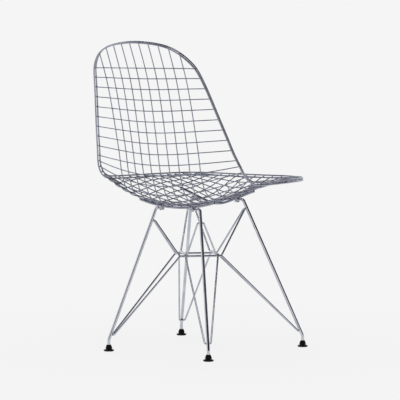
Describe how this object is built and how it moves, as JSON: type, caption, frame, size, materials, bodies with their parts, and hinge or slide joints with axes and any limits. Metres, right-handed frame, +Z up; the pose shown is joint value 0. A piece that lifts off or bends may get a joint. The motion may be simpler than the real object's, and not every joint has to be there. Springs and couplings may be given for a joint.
{
  "type": "wire mesh side chair",
  "caption": "Side chair with a one-piece bent wire mesh shell, bound by a double wire rim, on a splayed rod base with triangulated wire braces and tilting glides.",
  "frame": {"origin": "floor level under the middle of the overall width and depth", "axes": "+X towards the sitter's left, -Y the way the sitter faces, +Z up"},
  "size_m": [0.4946, 0.5386, 0.8305],
  "materials": {
    "chrome_mesh": "polished",
    "chrome_rim": "polished",
    "chrome_base": "polished",
    "chrome_fittings": "satin",
    "screw_steel": "satin",
    "black_plastic": "matte"
  },
  "bodies": {
    "chair": {"cross_wire_01_back": "chrome_mesh", "cross_wire_02_back": "chrome_mesh", "cross_wire_03_back": "chrome_mesh", "cross_wire_04_back": "chrome_mesh", "cross_wire_05_back": "chrome_mesh", "cross_wire_06_back": "chrome_mesh", "cross_wire_07_back": "chrome_mesh", "cross_wire_08_back": "chrome_mesh", "cross_wire_09_back": "chrome_mesh", "cross_wire_10_back": "chrome_mesh", "cross_wire_11_bend": "chrome_mesh", "cross_wire_12_bend": "chrome_mesh", "cross_wire_13_bend": "chrome_mesh", "cross_wire_14_bend": "chrome_mesh", "cross_wire_15_bend": "chrome_mesh", "cross_wire_16_bend": "chrome_mesh", "cross_wire_17_seat": "chrome_mesh", "cross_wire_18_seat": "chrome_mesh", "cross_wire_19_seat": "chrome_mesh", "cross_wire_20_seat": "chrome_mesh", "cross_wire_21_seat": "chrome_mesh", "cross_wire_22_seat": "chrome_mesh", "cross_wire_23_seat": "chrome_mesh", "cross_wire_24_seat": "chrome_mesh", "cross_wire_25_seat": "chrome_mesh", "cross_wire_26_seat": "chrome_mesh", "cross_wire_27_seat": "chrome_mesh", "front_rail": "chrome_base", "leg_front_left": "chrome_base", "leg_front_right": "chrome_base", "leg_rear_left": "chrome_base", "leg_rear_right": "chrome_base", "long_wires_pair_1": "chrome_mesh", "long_wires_pair_2": "chrome_mesh", "long_wires_pair_3": "chrome_mesh", "long_wires_pair_4": "chrome_mesh", "long_wires_pair_5": "chrome_mesh", "lower_brace_a": "chrome_base", "lower_brace_b": "chrome_base", "rail_saddles": "chrome_fittings", "rear_rail": "chrome_base", "rim_lower_strand": "chrome_rim", "rim_upper_strand": "chrome_rim", "saddle_screws": "screw_steel", "seat_side_wires_left": "chrome_mesh", "seat_side_wires_right": "chrome_mesh", "upper_brace_a": "chrome_base", "upper_brace_b": "chrome_base"},
    "cap_rear_left": {"glide_cap_rear_left": "black_plastic"},
    "foot_rear_left": {"glide_foot_rear_left": "black_plastic"},
    "cap_rear_right": {"glide_cap_rear_right": "black_plastic"},
    "foot_rear_right": {"glide_foot_rear_right": "black_plastic"},
    "cap_front_left": {"glide_cap_front_left": "black_plastic"},
    "foot_front_left": {"glide_foot_front_left": "black_plastic"},
    "cap_front_right": {"glide_cap_front_right": "black_plastic"},
    "foot_front_right": {"glide_foot_front_right": "black_plastic"}
  },
  "joints": [
    {"name": "glide_swivel_rear_left", "type": "hinge", "parent": "chair", "child": "cap_rear_left", "pos_m": [0.165, 0.1621, 0.0124], "axis": [0, 0, 1], "continuous": true},
    {"name": "glide_tilt_rear_left", "type": "hinge", "parent": "cap_rear_left", "child": "foot_rear_left", "pos_m": [0.165, 0.1621, 0.008], "axis": [1, 0, 0], "range_deg": [-6, 6]},
    {"name": "glide_swivel_rear_right", "type": "hinge", "parent": "chair", "child": "cap_rear_right", "pos_m": [-0.165, 0.1621, 0.0124], "axis": [0, 0, 1], "continuous": true},
    {"name": "glide_tilt_rear_right", "type": "hinge", "parent": "cap_rear_right", "child": "foot_rear_right", "pos_m": [-0.165, 0.1621, 0.008], "axis": [1, 0, 0], "range_deg": [-6, 6]},
    {"name": "glide_swivel_front_left", "type": "hinge", "parent": "chair", "child": "cap_front_left", "pos_m": [0.2055, -0.2179, 0.0124], "axis": [0, 0, 1], "continuous": true},
    {"name": "glide_tilt_front_left", "type": "hinge", "parent": "cap_front_left", "child": "foot_front_left", "pos_m": [0.2055, -0.2179, 0.008], "axis": [1, 0, 0], "range_deg": [-6, 6]},
    {"name": "glide_swivel_front_right", "type": "hinge", "parent": "chair", "child": "cap_front_right", "pos_m": [-0.2055, -0.2179, 0.0124], "axis": [0, 0, 1], "continuous": true},
    {"name": "glide_tilt_front_right", "type": "hinge", "parent": "cap_front_right", "child": "foot_front_right", "pos_m": [-0.2055, -0.2179, 0.008], "axis": [1, 0, 0], "range_deg": [-6, 6]}
  ]
}
